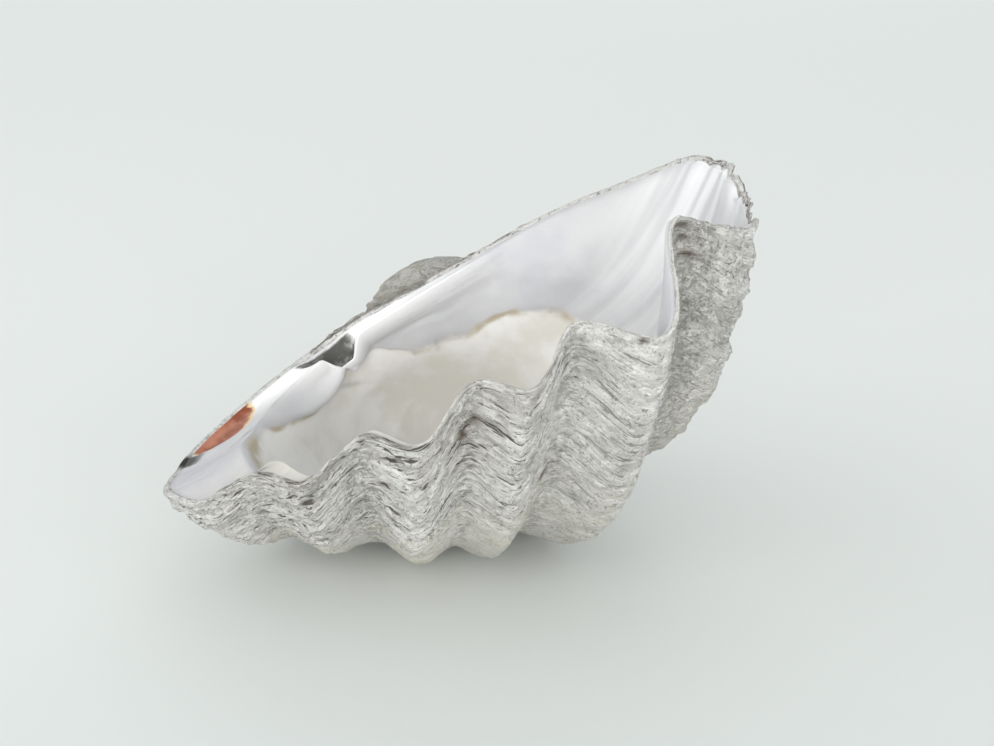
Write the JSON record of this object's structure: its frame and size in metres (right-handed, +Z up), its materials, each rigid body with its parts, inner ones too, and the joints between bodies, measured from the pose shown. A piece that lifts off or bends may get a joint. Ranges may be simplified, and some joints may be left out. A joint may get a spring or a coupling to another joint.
{
  "type": "giant clam shell valve",
  "caption": "Single deep fluted clam valve lying on its outside, bowl side up, with a thick hinge plate and a curled beak.",
  "frame": {"origin": "centre of the bounding box at the floor the valve rests on", "axes": "+Z up from the floor; +X towards the raised tall end; +Y towards the hinge and beak, away from the fluted free edge"},
  "size_m": [0.2718, 0.2774, 0.2031],
  "materials": {
    "shell": "chalky outside, pearly inside"
  },
  "bodies": {
    "root": {"clam_valve": "shell"}
  },
  "joints": []
}
